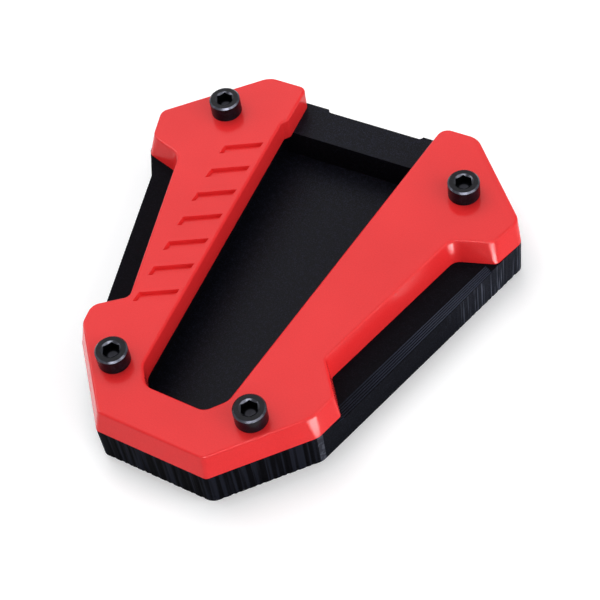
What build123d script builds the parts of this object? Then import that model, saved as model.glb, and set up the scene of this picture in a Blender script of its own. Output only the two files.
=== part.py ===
from build123d import *
import os
from math import atan2, hypot, sin, tan

os.makedirs("parts", exist_ok=True)

# Heights, mm, above the ground face.
base_height = 9.4
cover_height = 5.6
floor_thickness = 2.0
cover_top = base_height + cover_height

# Main sizes in plan, mm: from the front edge to the middle of the rear edge, and from the middle to the
# rear side corners.
plate_length = 97.4
half_width = 45.25

# How far ahead of the rear edge the rear corners lie, and how far in from the side corners.
side_corner_setback = 19.5
tab_setback = 27.2
tab_inset = 2.35
waist_setback = 29.8
waist_inset = 11.0

# Corners of the right half in plan, mm, from the middle of the front edge.
# The third value tells whether the corner belongs to the rear end, which is cut askew.
FRONT, REAR = False, True
rear_skew = 0.048
front_edge_end = (13.0, 0.0, FRONT)
front_corner = (28.8, 18.2, FRONT)
tab_end = (30.45, 24.55, FRONT)
waist_front = (24.4, 31.9, FRONT)
waist_rear = (half_width - waist_inset, plate_length - waist_setback, REAR)
rear_tab_start = (half_width - tab_inset, plate_length - tab_setback, REAR)
rear_side_corner = (half_width, plate_length - side_corner_setback, REAR)
rear_corner = (26.0, plate_length, REAR)
tab_inner = (17.5, plate_length, REAR)
mouth_side = (10.3, 15.4, FRONT)
mouth_front = (7.0, 11.2, FRONT)

# The mouth's front end lies a little off the middle.
mouth_offset = -0.28

# On the left the front is a little fuller, the front tab is shorter, and the end tab stands out past the
# mouth's wall behind a slanted step.
left_tab_setback = 0.1
step_rear_setback = 11.4
step_front_setback = 12.8
left_front_edge_end = (13.5, 0.0, FRONT)
left_front_corner = (28.55, 17.35, FRONT)
left_tab_end = (29.7, 24.4, FRONT)
left_waist_front = (23.8, 29.25, FRONT)
left_tab_inner = (16.4, plate_length - left_tab_setback, REAR)
step_rear = (15.5, plate_length - step_rear_setback, FRONT)
step_front = (16.5, plate_length - step_front_setback, FRONT)

# Lean of the cover's walls, mm over its height, and its rounded rim.
outer_lean = 1.5
notch_lean = 0.6
left_side_lean = 0.75
left_notch_lean = 1.2
left_waist_lean = 1.25
rear_lean = 0.05
rim_radius = 0.6

# Corner radii of the cover's foot and rim and of the plate, in the order of the corners above.
foot_radii = [1.3, 3.4, 1.0, 0.9, 2.8, 1.6, 2.2, 4.0]
rim_radii = [1.8, 6.0, 1.6, 1.3, 4.0, 3.4, 3.2, 4.4]
left_foot_radii = [1.3, 2.4, 2.4, 1.4, 2.8, 1.6, 1.6, 4.0]
left_rim_radii = [1.8, 3.6, 3.2, 1.8, 4.0, 3.4, 2.4, 4.4]
plate_radii = [3.2, 3.4, 2.2, 4.0]
left_plate_radii = [1.6, 2.2, 2.2, 4.0]

# Corner radii of the mouth between the arms.
mouth_front_radius = 3.0
mouth_side_radius = 3.4
step_radius = 0.9
tab_inner_radius = 2.6
left_tab_inner_radius = 1.7
mouth_overrun = 6.0

# Pocket for the stand's foot, the bar that closes it, and the recess in the bar.
pocket_front = (7.8, 10.6, FRONT)
pocket_side = (12.8, 17.2, FRONT)
bar_width = 9.4
pocket_rear = (19.8, plate_length - bar_width, REAR)
pocket_radius = 2.0
recess_depth = 0.8
recess_half_width = 11.6
recess_offset = 0.6
recess_flare = 1.4
recess_overrun = 3.0
recess_radius = 0.9

# Milled chamfer of the right waist ledge: distance along the side, width and drop at each of its sections.
chamfer_passes = 5
pass_hollow = 0.1
chamfer_setback = 43.4
chamfer_sections = [(3.6, 0.5, 0.5), (7.4, 2.0, 1.8), (plate_length - chamfer_setback, 1.9, 0.6)]

# Relief of the left waist wall, and flutes of the side walls.
relief_depth = 2.3
relief_start = 6.6
relief_lead = 1.7
relief_setback = 50.8
relief_end = plate_length - relief_setback
relief_flare = 7.2
flute_width = 0.9
flute_depth = 0.13
faint_flute_depth = 0.05
flute_pitch = 1.85
flute_margin = 2.4
corner_flute_margin = 2.0
rear_flute_margin = 2.8
side_flute_share = 0.62

# Cap screws, placed from the cover's corners, and their holes.
front_screw_inset = (12.3, -4.5)
rear_screw_inset = (15.2, 5.15)
front_screw = (front_corner[0] - front_screw_inset[0], front_corner[1] + front_screw_inset[1])
rear_screw = (rear_side_corner[0] - rear_screw_inset[0], rear_side_corner[1] + rear_screw_inset[1])
screw_diameter = 4.0
screw_length = 12.0
head_diameter = 7.0
head_height = 4.0
head_chamfer = 0.35
socket_flats = 3.4
socket_depth = 2.2
socket_rim_diameter = 4.3
rim_depth = 0.35
socket_tip = 0.4
cover_hole_diameter = 4.5
base_hole_diameter = 4.1
base_hole_floor = 2.2

# Row of plain slanted slots sunk in the top of the left arm.
slot_count = 7
slot_reach = 7.6
slot_rise = 4.4
slot_width = 2.6
slot_depth = 0.9
slot_draft = 20.0
last_slot_setback = 22.9
first_slot = (-17.3, 31.5)
last_slot = (-21.2, plate_length - last_slot_setback)


def plan(right_half, left_half=None):
    """Corners anticlockwise: the right half's, then the left half's mirrored, the same unless given."""
    right = [(x, y + rear_skew * x if rear else y) for x, y, rear in right_half]
    left = [(-x, y - rear_skew * x if rear else y) for x, y, rear in left_half or right_half]
    return right + left[::-1]


def around(right, left, crossing=None, closing=None):
    """Values for both halves: of corners, or with a crossing and a closing value of edges."""
    if crossing is None:
        return right + left[::-1]
    return right + [crossing] + left[::-1] + [closing]


def direction(a, b):
    length = hypot(b[0] - a[0], b[1] - a[1])
    return (b[0] - a[0]) / length, (b[1] - a[1]) / length


def inset(corners, amounts):
    """Moves each edge of an anticlockwise polygon inward by its own amount and returns the new corners."""
    lines = []
    for a, b, amount in zip(corners, corners[1:] + corners[:1], amounts):
        dx, dy = direction(a, b)
        lines.append((a[0] - dy * amount, a[1] + dx * amount, dx, dy))
    moved = []
    for (ax, ay, adx, ady), (bx, by, bdx, bdy) in zip(lines[-1:] + lines[:-1], lines):
        t = ((bx - ax) * bdy - (by - ay) * bdx) / (adx * bdy - ady * bdx)
        moved.append((ax + adx * t, ay + ady * t))
    return moved


def past(a, b, extra):
    """The point that lies extra beyond b on the line from a."""
    dx, dy = direction(a, b)
    return b[0] + dx * extra, b[1] + dy * extra


def corner_arc(before, here, after, radius):
    """Start, middle and end of the arc that rounds a corner."""
    ax, ay = direction(here, before)
    bx, by = direction(here, after)
    half_angle = abs(atan2(ax * by - ay * bx, ax * bx + ay * by)) / 2
    reach = radius / tan(half_angle)
    mx, my = direction((0, 0), (ax + bx, ay + by))
    depth = radius / sin(half_angle) - radius
    start = (here[0] + ax * reach, here[1] + ay * reach)
    middle = (here[0] + mx * depth, here[1] + my * depth)
    end = (here[0] + bx * reach, here[1] + by * reach)
    return start, middle, end


def outline(corners, radii, z, flutes=None):
    """Face at height z with rounded corners; an edge may have flutes: place along it, width and depth."""
    count = len(corners)
    arcs = []
    for i in range(count):
        arcs.append(corner_arc(corners[i - 1], corners[i], corners[(i + 1) % count], radii[i]))
    edges = []
    for i in range(count):
        edges.append(Edge.make_three_point_arc(*[Vector(x, y, z) for x, y in arcs[i]]))
        here = arcs[i][2]
        target = arcs[(i + 1) % count][0]
        dx, dy = direction(here, target)
        for distance, width, depth in (flutes or {}).get(i, []):
            cx = corners[i][0] + dx * distance
            cy = corners[i][1] + dy * distance
            first = (cx - dx * width / 2, cy - dy * width / 2)
            deepest = (cx - dy * depth, cy + dx * depth)
            last = (cx + dx * width / 2, cy + dy * width / 2)
            edges.append(Edge.make_line(Vector(*here, z), Vector(*first, z)))
            edges.append(Edge.make_three_point_arc(Vector(*first, z), Vector(*deepest, z), Vector(*last, z)))
            here = last
        edges.append(Edge.make_line(Vector(*here, z), Vector(*target, z)))
    return Face(Wire(edges))


def flute_row(start, stop, first_depth, last_depth):
    """Slightly uneven flutes between two places along an edge, their depth running from first to last."""
    gaps = round((stop - start) / flute_pitch)
    pitch = (stop - start) / gaps
    row = []
    for i in range(gaps + 1):
        place = start + pitch * (i + 0.17 * sin(2.1 * i))
        width = flute_width * (1 + 0.15 * sin(1.3 * i))
        depth = first_depth + (last_depth - first_depth) * i / gaps
        row.append((place, width, depth * (0.85 + 0.25 * sin(1.7 * i))))
    return row


def at_screws(shape):
    """The shape at each of the four screw places."""
    places = [(side * x, y) for x, y in (front_screw, rear_screw) for side in (1, -1)]
    return [Pos(x, y, 0) * shape for x, y in places]


# Base plate: fluted octagon with the foot's pocket, the recessed bar, the waist's chamfer and relief,
# and the tapped holes.
base_corners = plan([front_edge_end, front_corner, rear_side_corner, rear_corner],
                    [left_front_edge_end, left_front_corner, rear_side_corner, rear_corner])
edge_ends = zip(base_corners, base_corners[1:] + base_corners[:1])
lengths = [hypot(b[0] - a[0], b[1] - a[1]) for a, b in edge_ends]
flutes = {
    0: flute_row(flute_margin, lengths[0] - corner_flute_margin, flute_depth, flute_depth),
    1: flute_row(lengths[1] * side_flute_share, lengths[1] - rear_flute_margin,
                 faint_flute_depth, flute_depth),
    6: flute_row(corner_flute_margin, lengths[6] - flute_margin, flute_depth, flute_depth),
    7: flute_row(flute_margin, lengths[7] - flute_margin, flute_depth, flute_depth),
}
base_outline = outline(base_corners, around(plate_radii, left_plate_radii), 0, flutes)
base_plate = extrude(base_outline, base_height, dir=(0, 0, 1))

pocket_corners = plan([pocket_front, pocket_side, pocket_rear])
pocket_floor = outline(pocket_corners, [pocket_radius] * 6, floor_thickness)
base_plate -= extrude(pocket_floor, base_height, dir=(0, 0, 1))

recess_corners = []
for x, depth in ((-recess_half_width, recess_depth), (recess_half_width, recess_depth),
                 (recess_half_width + recess_flare, -recess_overrun),
                 (-recess_half_width - recess_flare, -recess_overrun)):
    recess_corners.append((recess_offset + x, rear_corner[1] + rear_skew * (recess_offset + x) - depth))
recess_floor = outline(recess_corners, [recess_radius, recess_radius, 0.2, 0.2], 0)
base_plate -= extrude(recess_floor, base_height, dir=(0, 0, 1))

corner, far = base_corners[1], base_corners[2]
dx, dy = direction(corner, far)
sections = []
for along, width, drop in chamfer_sections:
    profile = [(width, 0.0)]
    for i in range(chamfer_passes):
        t = (i + 0.65) / chamfer_passes
        profile.append((width * (1 - t) + pass_hollow, drop * t + pass_hollow))
        t = (i + 1) / chamfer_passes
        profile.append((width * (1 - t), drop * t))
    profile += [(-1.0, drop + 0.3), (-1.0, -1.0), (width, -1.0)]
    points = []
    for across, depth in profile:
        x = corner[0] + dx * along - dy * across
        y = corner[1] + dy * along + dx * across
        points.append(Vector(x, y, base_height - depth))
    sections.append(Wire.make_polygon(points))
base_plate -= Solid.make_loft(sections, ruled=True)

corner, far = base_corners[6], base_corners[5]
dx, dy = direction(corner, far)
relief = []
for along, across in ((relief_start, -1.0), (relief_start, 0.0), (relief_start + relief_lead, relief_depth),
                      (relief_end, relief_depth), (relief_end + relief_flare, 0.0),
                      (relief_end + relief_flare, -1.0)):
    relief.append(Vector(corner[0] + dx * along + dy * across, corner[1] + dy * along - dx * across, 0))
base_plate -= extrude(Face(Wire.make_polygon(relief)), base_height, dir=(0, 0, 1))

base_hole = Pos(0, 0, base_hole_floor) * Cylinder(
    base_hole_diameter / 2, base_height, align=(Align.CENTER, Align.CENTER, Align.MIN))
base_plate -= at_screws(base_hole)

# Clamp cover: leaning outer walls with corners that widen towards the rim, the straight-walled mouth between
# the arms, and one rounded rim round the whole fork.
rear_corners = [waist_rear, rear_tab_start, rear_side_corner, rear_corner]
cover_corners = plan([front_edge_end, front_corner, tab_end, waist_front] + rear_corners,
                     [left_front_edge_end, left_front_corner, left_tab_end, left_waist_front] + rear_corners)
right_leans = [outer_lean, outer_lean, notch_lean, outer_lean, outer_lean, outer_lean, rear_lean]
left_leans = [outer_lean, left_side_lean, left_notch_lean, left_waist_lean, outer_lean, outer_lean, rear_lean]
rim_corners = inset(cover_corners, around(right_leans, left_leans, rear_lean, outer_lean))
clamp_cover = loft([
    outline(cover_corners, around(foot_radii, left_foot_radii), base_height),
    outline(rim_corners, around(rim_radii, left_rim_radii), cover_top),
], ruled=True)

mouth_right = [(x + mouth_offset, y, rear) for x, y, rear in (mouth_front, mouth_side)]
mouth_left = [(x - mouth_offset, y, rear) for x, y, rear in (mouth_front, mouth_side)]
mouth_corners = plan(mouth_right + [tab_inner], mouth_left + [step_front, step_rear, left_tab_inner])
mouth_corners[2] = past(mouth_corners[1], mouth_corners[2], mouth_overrun)
mouth_corners[3] = past(mouth_corners[4], mouth_corners[3], mouth_overrun)
mouth_radii = around([mouth_front_radius, mouth_side_radius, step_radius],
                     [mouth_front_radius, mouth_side_radius, step_radius, step_radius, step_radius])
clamp_cover -= extrude(outline(mouth_corners, mouth_radii, base_height), cover_height, dir=(0, 0, 1))
tab_corners = plan([tab_inner], [left_tab_inner])
for corner, radius in zip(tab_corners, (tab_inner_radius, left_tab_inner_radius)):
    upright = clamp_cover.edges().filter_by(lambda edge: edge.bounding_box().size.Z > cover_height / 2)
    clamp_cover = fillet(upright.sort_by_distance((*corner, base_height))[0], radius)
clamp_cover = fillet(clamp_cover.edges().group_by(Axis.Z)[-1], rim_radius)

cover_hole = Pos(0, 0, base_height - 1) * Cylinder(
    cover_hole_diameter / 2, cover_height + 2, align=(Align.CENTER, Align.CENTER, Align.MIN))
clamp_cover -= at_screws(cover_hole)

slot_outline = Polyline(
    (-slot_reach / 2, -slot_rise / 2 - slot_width / 2), (slot_reach / 2, slot_rise / 2 - slot_width / 2),
    (slot_reach / 2, slot_rise / 2 + slot_width / 2), (-slot_reach / 2, -slot_rise / 2 + slot_width / 2),
    close=True)
slot = extrude(make_face(slot_outline), slot_depth, dir=(0, 0, -1), taper=slot_draft)
for i in range(slot_count):
    t = i / (slot_count - 1)
    x = first_slot[0] + t * (last_slot[0] - first_slot[0])
    y = first_slot[1] + t * (last_slot[1] - first_slot[1])
    clamp_cover -= Pos(x, y, cover_top) * slot

# Socket cap screws, heads resting on the cover.
head = Pos(0, 0, cover_top) * Cylinder(
    head_diameter / 2, head_height, align=(Align.CENTER, Align.CENTER, Align.MIN))
head = chamfer(head.edges().group_by(Axis.Z)[-1], head_chamfer)
hexagon = RegularPolygon(socket_flats / 2, 6, major_radius=False)
head -= Pos(0, 0, cover_top + head_height - socket_depth) * extrude(hexagon, socket_depth + 1)
head -= Pos(0, 0, cover_top + head_height - socket_depth - socket_tip) * Cone(
    0.05, socket_flats / 2 - 0.1, socket_tip, align=(Align.CENTER, Align.CENTER, Align.MIN))
head -= Pos(0, 0, cover_top + head_height - rim_depth) * Cone(
    socket_flats / 2, socket_rim_diameter / 2, rim_depth, align=(Align.CENTER, Align.CENTER, Align.MIN))
shank = Pos(0, 0, cover_top - screw_length) * Cylinder(
    screw_diameter / 2, screw_length, align=(Align.CENTER, Align.CENTER, Align.MIN))
cap_screws = Compound(children=at_screws(head + shank))

# The origin is the middle of the ground face.
middle = base_plate.bounding_box().center()
to_origin = Pos(-middle.X, -middle.Y, 0)
for name, shape in (("base_plate", base_plate), ("clamp_cover", clamp_cover), ("cap_screws", cap_screws)):
    export_step(to_origin * shape, f"parts/{name}.step")
    print(name, round(shape.volume, 1), len(shape.solids()), "solids", (to_origin * shape).bounding_box())
print("shift", middle)
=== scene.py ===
import bpy
import numpy as np
from mathutils import Matrix

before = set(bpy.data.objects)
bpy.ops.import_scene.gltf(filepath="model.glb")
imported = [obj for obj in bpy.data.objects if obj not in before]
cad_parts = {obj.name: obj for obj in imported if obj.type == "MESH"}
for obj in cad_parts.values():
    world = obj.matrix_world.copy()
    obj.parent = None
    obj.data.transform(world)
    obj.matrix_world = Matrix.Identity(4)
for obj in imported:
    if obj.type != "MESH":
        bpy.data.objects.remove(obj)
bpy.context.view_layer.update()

MM = 0.001

# Upright lines that two finishes follow, x and y in millimetres: the plate's corner with a painted highlight,
# with the distances between which it fades, and one screw of each pair, without the signs of x and y.
PAINTED_HIGHLIGHT_CORNER = (28.78, -30.70)
PAINTED_HIGHLIGHT_FADE = (0.615, 0.82)
SCREW_AXES = ((16.5, 35.585), (30.05, 33.765))

# Scales of a place that draw its noise out into upright streaks.
RIB_STREAKS = (1.0, 1.0, 0.02)
RIDGE_STREAKS = (1.0, 1.0, 0.025)

# Light of the surroundings, and the table's glow where it is seen directly.
SKY_LIGHT = 0.36
TABLE_GLOW = 0.18

# Area lamps: azimuth from +X and elevation in degrees, size in metres, level, and what they light.
LAMP_DISTANCE = 0.8
LAMP_TARGET = (0, 0, 0.01)
LAMPS = {
    "top_key": (150, 60, (0.8, 0.8), 2.35, "all"),
    "left_low": (222, 14, (0.34, 0.16), 5.0, "matt"),
    "right_low": (-4, 14, (1.1, 0.34), 3.1, "matt"),
    "right_high": (10, 40, (0.5, 0.3), 2.2, "all"),
    "front_low": (-75, 9, (0.7, 0.2), 0.6, "matt"),
    "right_card": (-10, 44, (0.8, 0.4), 4.0, "gloss"),
    "front_card": (-62, 46, (0.5, 0.4), 13.0, "gloss"),
    "left_card": (196, 40, (0.5, 0.4), 7.0, "gloss"),
}

# Small gloss lamps by the cover's corners: place, target and size in millimetres.
STRIP_LEVEL = 24.0
STRIPS = {
    "strip_front": ((46.4, -34.9, 3.4), (28.8, -31.1, 12.0), (11, 6)),
    "strip_tab": ((57.6, 12.0, 3.8), (43.0, 23.0, 12.0), (10, 6)),
    "strip_waist": ((57.5, 8.6, 4.7), (58.5, 28.6, 4.9), (17, 9)),
}


def rgb(red, green, blue):
    """A colour written as on a screen, 0 to 255, as the linear values that a shader takes."""
    screen = np.array([red, green, blue]) / 255
    linear = np.where(screen <= 0.04045, screen / 12.92, ((screen + 0.055) / 1.055) ** 2.4)
    return (*linear.tolist(), 1.0)


# Colours of the finishes: a pair is the dark and the pale end of a grain, a single one lies over the others.
RED = (rgb(214, 38, 40), rgb(231, 49, 51))
COAT = (rgb(10, 11, 17), rgb(41, 43, 61))
# Painted shade: the darker coat of the waist ledge beside the cover.
COAT_LEDGE_PAINTED_SHADE = (rgb(11, 10, 14), rgb(36, 35, 45))
COAT_WALL = (rgb(13, 14, 19), rgb(44, 46, 57))
COAT_RIBS = (rgb(4, 4, 6), rgb(27, 29, 38))
COAT_RIDGE = rgb(92, 97, 112)
# Painted highlight: the paler coat of the chamfer band.
COAT_BAND_PAINTED_HIGHLIGHT = rgb(56, 61, 78)
# Painted highlight on one corner of the plate.
COAT_CORNER_PAINTED_HIGHLIGHT = rgb(72, 74, 84)
OXIDE = (rgb(7, 7, 11), rgb(22, 22, 31))
OXIDE_EDGE = rgb(68, 69, 77)
OXIDE_RIM = rgb(52, 53, 59)
# Inside the sockets: dark as painted shade, with the paler floor as a painted highlight.
OXIDE_SOCKET_PAINTED_SHADE_AND_HIGHLIGHT = (rgb(10, 10, 13), rgb(80, 80, 88))
TABLE_WHITE = (0.95, 0.95, 0.96, 1.0)


class Field:
    """A value, colour or vector inside a node tree; arithmetic on values adds Math nodes."""

    def __init__(self, tree, socket=None):
        self.tree = tree
        self.socket = socket

    def node(self, kind, settings=None, inputs=None, out=0):
        """Adds a node: its settings, then its sockets' values or links; gives back an output, if any."""
        made = self.tree.nodes.new(kind)
        for name, value in (settings or {}).items():
            setattr(made, name, value)
        for name, value in (inputs or {}).items():
            if isinstance(value, Field):
                self.tree.links.new(value.socket, made.inputs[name])
            else:
                made.inputs[name].default_value = value
        return Field(self.tree, made.outputs[out]) if made.outputs else None

    def math(self, operation, first, second=0.0):
        return self.node("ShaderNodeMath", {"operation": operation}, {0: first, 1: second})

    def __add__(self, other):
        return self.math("ADD", self, other)

    def __radd__(self, other):
        return self.math("ADD", other, self)

    def __sub__(self, other):
        return self.math("SUBTRACT", self, other)

    def __rsub__(self, other):
        return self.math("SUBTRACT", other, self)

    def __mul__(self, other):
        return self.math("MULTIPLY", self, other)

    def __rmul__(self, other):
        return self.math("MULTIPLY", other, self)

    def __abs__(self):
        return self.math("ABSOLUTE", self)

    def over(self, low, high, unit=1.0):
        """0 below low, 1 above high and smooth between, which is the smoothstep of the value."""
        return self.node("ShaderNodeMapRange", {"interpolation_type": "SMOOTHSTEP"},
                         {"Value": self, "From Min": low * unit, "From Max": high * unit})

    def under(self, low, high, unit=1.0):
        """1 below low, 0 above high and smooth between."""
        return 1.0 - self.over(low, high, unit)

    def mixed(self, first, second):
        """The colour first where the mask is 0, second where it is 1."""
        return self.node("ShaderNodeMix", {"data_type": "RGBA"}, {"Factor": self, 6: first, 7: second}, out=2)

    def axis(self, vector, name):
        """One of the three numbers of a vector: X, Y or Z."""
        return self.node("ShaderNodeSeparateXYZ", None, {0: vector}, out=name)

    def noise(self, place, per_mm, detail=2.0, roughness=0.5):
        """Even noise from 0 to 1 over a place in metres, with that many cells to the millimetre."""
        return self.node("ShaderNodeTexNoise", None, {
            "Vector": place, "Scale": per_mm / MM, "Detail": detail, "Roughness": roughness})

    def stretched(self, place, scale):
        """The same place with each axis scaled, so a noise on it runs in streaks."""
        return self.node("ShaderNodeMapping", None, {"Vector": place, "Scale": scale})

    def plan_distance(self, place, x, y):
        """How far a place lies from the upright line at x, y in millimetres, seen from above."""
        flat = self.node("ShaderNodeVectorMath", {"operation": "MULTIPLY"}, {0: place, 1: (1, 1, 0)})
        return self.node("ShaderNodeVectorMath", {"operation": "DISTANCE"},
                         {0: flat, 1: (x * MM, y * MM, 0)}, out="Value")

    def bump(self, height, strength, distance):
        """A normal from a height map, its distance in millimetres."""
        return self.node("ShaderNodeBump", None, {
            "Height": height, "Strength": strength, "Distance": distance * MM})

    def principled(self, colour, roughness, normal, specular, metallic=0.0):
        """A Principled shader; its specular level is one number all over and stays on its own socket."""
        return self.node("ShaderNodeBsdfPrincipled", None, {
            "Base Color": colour, "Roughness": roughness, "Metallic": metallic, "Normal": normal,
            "Specular IOR Level": specular})

    def matt(self, colour, normal):
        """A Principled shader with no gloss at all."""
        return self.principled(colour, 1.0, normal, specular=0.0)

    def seen_directly(self):
        """1 for what the camera sees, straight, mirrored or through glass, and 0 for the light that falls."""
        seen = self.node("ShaderNodeLightPath", out="Is Camera Ray")
        for ray in ("Is Glossy Ray", "Is Transmission Ray"):
            seen = self.math("MAXIMUM", seen, self.node("ShaderNodeLightPath", out=ray))
        return seen


def new_material(name):
    """An empty node material, and a Field in its tree."""
    material = bpy.data.materials.new(name)
    material.use_nodes = True
    material.node_tree.nodes.clear()
    return material, Field(material.node_tree)


def red_satin():
    """Red satin coat of the cover: fine grain, slight clouding and a smooth sheen."""
    material, f = new_material("red_satin")
    place = f.node("ShaderNodeTexCoord", out="Object")
    grain = f.noise(place, per_mm=3.4, detail=3.0, roughness=0.6)
    cloud = f.noise(place, per_mm=0.05)
    shade = ((grain - 0.5) * 0.8 + (cloud - 0.5) * 0.8 + 0.5).over(0.0, 1.0)
    roughness = 0.18 + (grain - 0.5) * 0.1 + (cloud - 0.5) * 0.06
    normal = f.bump(grain, strength=0.12, distance=0.02)
    surface = f.principled(shade.mixed(*RED), roughness, normal, specular=0.13)
    f.node("ShaderNodeOutputMaterial", None, {"Surface": surface})
    return material


def black_blasted():
    """Blasted black coat of the plate: a speckled top, a darker ledge as painted shade, a paler band on the
    chamfer as a painted highlight, a painted highlight on one corner, and matt side walls with the cutter's
    ribs at the front and fine ridges by the rear corners."""
    material, f = new_material("black_blasted")
    place = f.node("ShaderNodeTexCoord", out="Object")
    across = abs(f.axis(place, "X"))
    along = f.axis(place, "Y")
    facing = f.axis(f.node("ShaderNodeTexCoord", out="Normal"), "Z")

    # Zones, by how far a face looks up and by its place in millimetres.
    wall = abs(facing).under(0.3, 0.6)
    ledge = facing.over(0.985, 0.995) * across.over(20, 22, MM)
    band = facing.over(0.4, 0.55) * facing.under(0.93, 0.985)
    front = wall * along.under(-33, -31, MM)
    rear = wall * across.over(30, 33, MM) * along.over(4, 24, MM)
    # Where the plate's corner gets its painted highlight.
    corner_highlight = f.plan_distance(place, *PAINTED_HIGHLIGHT_CORNER).under(*PAINTED_HIGHLIGHT_FADE, MM)

    # Grains.
    grain = f.noise(place, per_mm=3.6, detail=3.0, roughness=0.7)
    mottle = f.noise(place, per_mm=1.1)
    rib = f.noise(f.stretched(place, RIB_STREAKS), per_mm=1.1, detail=1.5)
    ridge = f.noise(f.stretched(place, RIDGE_STREAKS), per_mm=2.0, roughness=0.6)
    fleck = (grain * 0.8 + mottle * 0.2).over(0.46, 0.66)

    # Colours, each zone over those before it.
    colour = (fleck * 0.5).mixed(*COAT)
    # Painted shade: the ledge, which lies in the cover's shade, gets a darker coat.
    colour = ledge.mixed(colour, (fleck * 0.3).mixed(*COAT_LEDGE_PAINTED_SHADE))
    colour = wall.mixed(colour, (fleck * 0.35).mixed(*COAT_WALL))
    colour = (front * 0.8).mixed(colour, rib.over(0.47, 0.62).mixed(*COAT_RIBS))
    colour = (rear * (0.08 + 0.92 * ridge.over(0.54, 0.66)) * 0.8).mixed(colour, COAT_RIDGE)
    # Painted highlight: faces that look partly up, the chamfer band, are made paler.
    colour = (band * 0.45).mixed(colour, COAT_BAND_PAINTED_HIGHLIGHT)
    # Painted highlight, mottled, on the plate's corner.
    colour = (corner_highlight * (0.45 + 0.55 * mottle.over(0.4, 0.6))).mixed(colour, COAT_CORNER_PAINTED_HIGHLIGHT)

    roughness = 0.42 + (mottle - 0.5) * 0.2
    height = grain * 0.8 + rear * ridge * 3.0 + front * rib * 3.0
    normal = f.bump(height, strength=0.4, distance=0.03)
    dull = f.math("MAXIMUM", wall * 0.85, ledge * 0.8)
    blasted = f.principled(colour, roughness, normal, specular=0.05)
    surface = f.node("ShaderNodeMixShader", None, {0: dull, 1: blasted, 2: f.matt(colour, normal)})
    f.node("ShaderNodeOutputMaterial", None, {"Surface": surface})
    return material


def black_oxide():
    """Oiled black oxide of the screws: cloudy near black, edges worn to grey steel, a matt socket painted
    dark as shade with a paler floor as a painted highlight.
    """
    material, f = new_material("black_oxide")
    place = f.node("ShaderNodeTexCoord", out="Object")
    height = f.axis(place, "Z")
    facing = f.axis(f.node("ShaderNodeTexCoord", out="Normal"), "Z")
    unsigned = f.node("ShaderNodeVectorMath", {"operation": "ABSOLUTE"}, {0: place})
    radius = f.math("MINIMUM", *[f.plan_distance(unsigned, x, y) for x, y in SCREW_AXES])

    # Zones, by how far a face looks up, and by radius and height in millimetres.
    edge = facing.over(0.4, 0.6) * facing.under(0.8, 0.95) * radius.over(2.6, 2.9, MM)
    rim = facing.over(0.3, 0.5) * facing.under(0.93, 0.98)
    rim = rim * radius.under(2.3, 2.5, MM) * height.over(18.6, 18.65, MM)
    # The socket is painted dark as shade, and its floor paler as a painted highlight.
    socket = radius.under(2.05, 2.2, MM) * (1.0 - rim)
    floor_highlight = radius.under(0.9, 1.3, MM) * height.under(17.0, 17.3, MM)

    # Grains, and the colours over them.
    grain = f.noise(place, per_mm=5.0, detail=3.0, roughness=0.6)
    cloud = f.noise(place, per_mm=0.9)
    colour = (grain * 0.5 + cloud * 0.5).over(0.35, 0.7).mixed(*OXIDE)
    colour = (edge * (0.55 + 0.45 * cloud.over(0.35, 0.6))).mixed(colour, OXIDE_EDGE)
    colour = rim.mixed(colour, OXIDE_RIM)

    roughness = 0.24 + (grain - 0.5) * 0.2
    normal = f.bump(grain, strength=0.15, distance=0.02)
    oiled = f.principled(colour, roughness, normal, specular=0.08, metallic=(edge + rim) * 0.9)
    socket_painted = f.matt(floor_highlight.mixed(*OXIDE_SOCKET_PAINTED_SHADE_AND_HIGHLIGHT), normal)
    surface = f.node("ShaderNodeMixShader", None, {0: socket, 1: oiled, 2: socket_painted})
    f.node("ShaderNodeOutputMaterial", None, {"Surface": surface})
    return material


def white_table():
    """White table: plain matt white that takes the shadow, with an even glow where it is seen directly."""
    material, f = new_material("white_table")
    glow = f.seen_directly().mixed((0, 0, 0, 1), (TABLE_GLOW, TABLE_GLOW, TABLE_GLOW, 1))
    surface = f.node("ShaderNodeBsdfPrincipled", None, {
        "Base Color": TABLE_WHITE, "Roughness": 1.0, "Specular IOR Level": 0.0,
        "Emission Color": glow, "Emission Strength": 1.0})
    f.node("ShaderNodeOutputMaterial", None, {"Surface": surface})
    return material


def sheet_mesh(name, points):
    """A mesh from a grid of points, rows by columns by 3, each cell one quad."""
    rows, columns, _ = points.shape
    index = np.arange(rows * columns).reshape(rows, columns)
    quads = np.stack([index[:-1, :-1], index[:-1, 1:], index[1:, 1:], index[1:, :-1]], axis=-1)
    mesh = bpy.data.meshes.new(name)
    mesh.from_pydata(points.reshape(-1, 3).tolist(), [], quads.reshape(-1, 4).tolist())
    mesh.update()
    return mesh


def table():
    """Flat square table top about the origin: x and y run evenly to half its width in metres, z is 0."""
    half, steps = 3.0, 13
    across = np.linspace(-half, half, steps)
    x, y = np.meshgrid(across, across)
    piece = bpy.data.objects.new("table", sheet_mesh("table", np.stack([x, y, 0 * x], axis=-1)))
    bpy.context.scene.collection.objects.link(piece)
    piece.data.materials.append(white_table())


def dress(node, material):
    """Gives a CAD node its finish."""
    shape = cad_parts[node]
    shape.data.materials.clear()
    shape.data.materials.append(material)


def placed(x, y, z, place):
    """The matrix of an object at a place, with its own axes along x, y and z."""
    turn = np.eye(4)
    turn[:3] = np.stack([x, y, z, place], axis=1)
    return Matrix(turn.tolist())


def around(azimuth, elevation, distance):
    """A point at that distance from the origin, azimuth from +X and elevation in degrees."""
    a, e = np.radians([azimuth, elevation])
    return distance * np.array([np.cos(a) * np.cos(e), np.sin(a) * np.cos(e), np.sin(e)])


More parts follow.
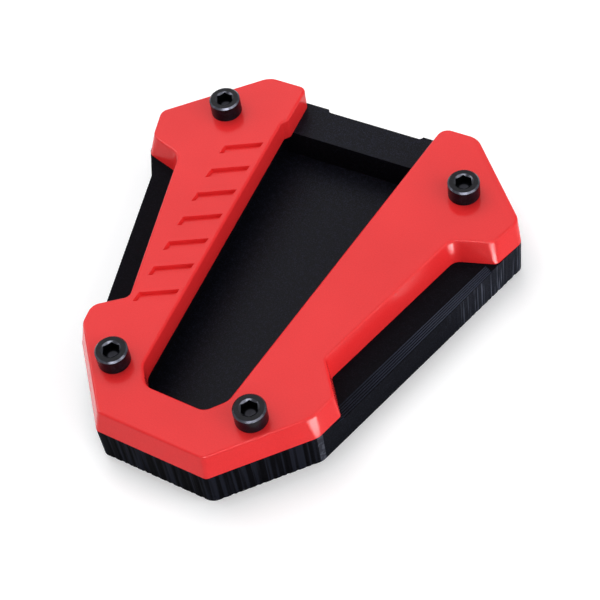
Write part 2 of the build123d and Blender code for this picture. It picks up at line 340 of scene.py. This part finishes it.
def softbox(name, place, target, size, level, lit):
    """A rectangular area lamp, in metres, that faces its target: at level 1 it is as bright as white.
    It lights matt surfaces, is mirrored in gloss, or both with lit all."""
    lamp = bpy.data.lights.new(name, "AREA")
    lamp.shape = "RECTANGLE"
    lamp.size, lamp.size_y = size
    lamp.energy = level * np.pi * size[0] * size[1]
    light = bpy.data.objects.new(name, lamp)
    light.visible_camera = False
    light.visible_diffuse = lit != "gloss"
    light.visible_glossy = lit != "matt"
    bpy.context.scene.collection.objects.link(light)
    z = np.array(place) - np.array(target)
    z = z / np.linalg.norm(z)
    x = np.cross([0, 0, 1], z)
    x = x / np.linalg.norm(x)
    light.matrix_world = placed(x, np.cross(z, x), z, place)


def studio_light():
    """Dim even surroundings, a soft key from above, low fills, gloss cards, and strips by the corners."""
    world = bpy.data.worlds.new("surroundings")
    bpy.context.scene.world = world
    world.use_nodes = True
    world.node_tree.nodes.clear()
    f = Field(world.node_tree)
    strength = SKY_LIGHT + f.seen_directly() * (1.0 - SKY_LIGHT)
    sky = f.node("ShaderNodeBackground", None, {"Color": (1, 1, 1, 1), "Strength": strength})
    f.node("ShaderNodeOutputWorld", None, {"Surface": sky})
    for name, (azimuth, elevation, size, level, lit) in LAMPS.items():
        softbox(name, around(azimuth, elevation, LAMP_DISTANCE), LAMP_TARGET, size, level, lit)
    for name, (place, target, size) in STRIPS.items():
        softbox(name, np.array(place) * MM, np.array(target) * MM, np.array(size) * MM, STRIP_LEVEL, "gloss")


def viewpoint():
    """The photograph's camera, its place in metres."""
    camera = bpy.data.cameras.new("viewpoint")
    camera.lens = 99.63
    camera.sensor_width = 36.0
    camera.shift_x = 0.0030
    camera.shift_y = -0.0003
    camera.clip_start = 0.01
    view = bpy.data.objects.new("viewpoint", camera)
    bpy.context.scene.collection.objects.link(view)
    right = (0.86975304, 0.48193018, -0.10617417)
    up = (-0.33966727, 0.74070712, 0.57963704)
    back = (0.35798855, -0.46807719, 0.80792818)
    place = (0.13534675, -0.16887690, 0.29577198)
    view.matrix_world = placed(right, up, back, place)
    bpy.context.scene.camera = view


dress("clamp_cover", red_satin())
dress("base_plate", black_blasted())
dress("cap_screws", black_oxide())
table()
studio_light()
viewpoint()
bpy.context.scene.view_settings.view_transform = "Standard"
